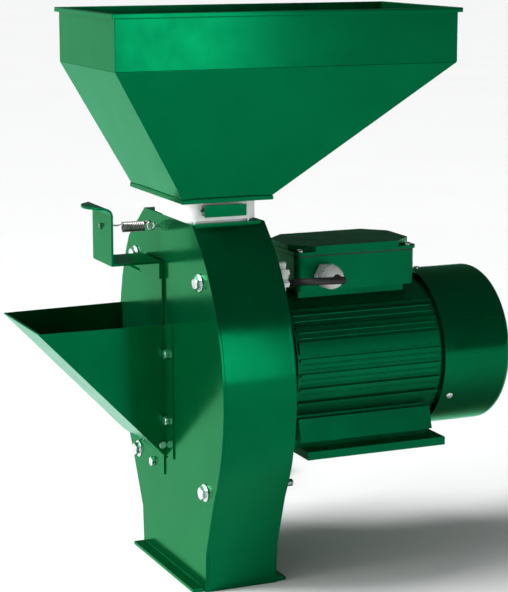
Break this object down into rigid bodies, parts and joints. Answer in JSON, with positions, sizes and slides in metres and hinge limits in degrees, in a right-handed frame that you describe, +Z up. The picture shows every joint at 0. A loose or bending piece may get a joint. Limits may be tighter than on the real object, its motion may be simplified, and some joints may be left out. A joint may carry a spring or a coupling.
{
  "type": "hammer mill",
  "caption": "Hammer mill with a hopper and slide gate above, a side feed chute with a sprung flap, swinging hammers over a sieve, and a flanged electric motor.",
  "frame": {"origin": "the point under the shaft, on the casing's mid plane, in the plane of the outlet at the underside of the base", "axes": "+X along the shaft from the mill to the motor, +Y across the casing towards the chute's side, +Z up"},
  "size_m": [0.521, 0.4837, 0.607],
  "materials": {
    "sheet_green": "gloss",
    "cast_green": "gloss",
    "white_plastic": "satin",
    "zinc": "satin",
    "tool_steel": "satin",
    "spring_steel": "satin",
    "bearing_steel": "polished",
    "stator_iron": "matte",
    "copper": "satin",
    "black_plastic": "matte",
    "black_rubber": "matte",
    "board": "matte"
  },
  "bodies": {
    "mill": {"casing_band": "sheet_green", "rear_plate": "sheet_green", "front_cover": "sheet_green", "top_plate": "sheet_green", "base_flanges": "sheet_green", "sieve_rails": "sheet_green", "chute": "sheet_green", "hopper_cone": "sheet_green", "hopper_band": "sheet_green", "hopper_flange": "sheet_green", "motor_frame": "cast_green", "motor_foot": "cast_green", "front_shield": "cast_green", "rear_shield": "cast_green", "terminal_box": "cast_green", "terminal_lid": "cast_green", "fan_cover": "sheet_green", "cover_bolts": "zinc", "cover_washers": "zinc", "cover_nuts": "zinc", "chute_bolts": "zinc", "flap_pin": "zinc", "spring_eye": "zinc", "gate_bolts": "zinc", "flange_bolts": "zinc", "fan_cover_screws": "zinc", "lid_screws": "zinc", "sieve": "tool_steel", "lever_spring": "spring_steel", "front_bearing": "bearing_steel", "rear_bearing": "bearing_steel", "stator_core": "stator_iron", "stator_windings": "copper", "gate_frame": "white_plastic", "gland_body": "white_plastic", "gland_nut": "white_plastic", "lid_gasket": "black_rubber", "power_lead": "black_rubber", "lead_coil": "black_rubber", "lead_plug": "black_rubber", "plug_relief": "black_rubber", "terminal_board": "board"},
    "star_nut": {"star_nut": "white_plastic"},
    "flap": {"feed_flap": "sheet_green", "flap_lever": "sheet_green"},
    "slide": {"slide_plate": "sheet_green"},
    "rotor": {"rotor_core": "stator_iron", "motor_shaft": "tool_steel", "shaft_key": "tool_steel", "cooling_fan": "black_plastic", "rotor_hub": "tool_steel", "rotor_discs": "tool_steel", "hammer_pins": "zinc", "hub_bolt": "zinc"},
    "hammers_upper_near": {"hammers_upper_near": "tool_steel"},
    "hammers_lower_near": {"hammers_lower_near": "tool_steel"},
    "hammers_upper_far": {"hammers_upper_far": "tool_steel"},
    "hammers_lower_far": {"hammers_lower_far": "tool_steel"}
  },
  "joints": [
    {"name": "rotor_spin", "type": "hinge", "parent": "mill", "child": "rotor", "pos_m": [0, 0, 0.221], "axis": [1, 0, 0], "continuous": true},
    {"name": "hammers_upper_near_swing", "type": "hinge", "parent": "rotor", "child": "hammers_upper_near", "pos_m": [0, -0.03677, 0.25777], "axis": [1, 0, 0], "range_deg": [-150, 5]},
    {"name": "hammers_lower_near_swing", "type": "hinge", "parent": "rotor", "child": "hammers_lower_near", "pos_m": [0, -0.03677, 0.18423], "axis": [1, 0, 0], "range_deg": [-100, 20]},
    {"name": "hammers_upper_far_swing", "type": "hinge", "parent": "rotor", "child": "hammers_upper_far", "pos_m": [0, 0.03677, 0.25777], "axis": [1, 0, 0], "range_deg": [-5, 150]},
    {"name": "hammers_lower_far_swing", "type": "hinge", "parent": "rotor", "child": "hammers_lower_far", "pos_m": [0, 0.03677, 0.18423], "axis": [1, 0, 0], "range_deg": [-20, 100]},
    {"name": "flap_swing", "type": "hinge", "parent": "mill", "child": "flap", "pos_m": [-0.0465, 0.075, 0.135], "axis": [0, -1, 0], "range_deg": [0, 27], "stiffness_Nm_per_rad": 1.5, "springref_deg": -34.38, "deforming": ["lever_spring"]},
    {"name": "slide_pull", "type": "slide", "parent": "mill", "child": "slide", "axis": [0, -1, 0], "range_m": [0, 0.075]},
    {"name": "star_nut_turn", "type": "hinge", "parent": "mill", "child": "star_nut", "pos_m": [0.048, -0.093, 0.331], "axis": [1, 0, 0], "continuous": true}
  ]
}
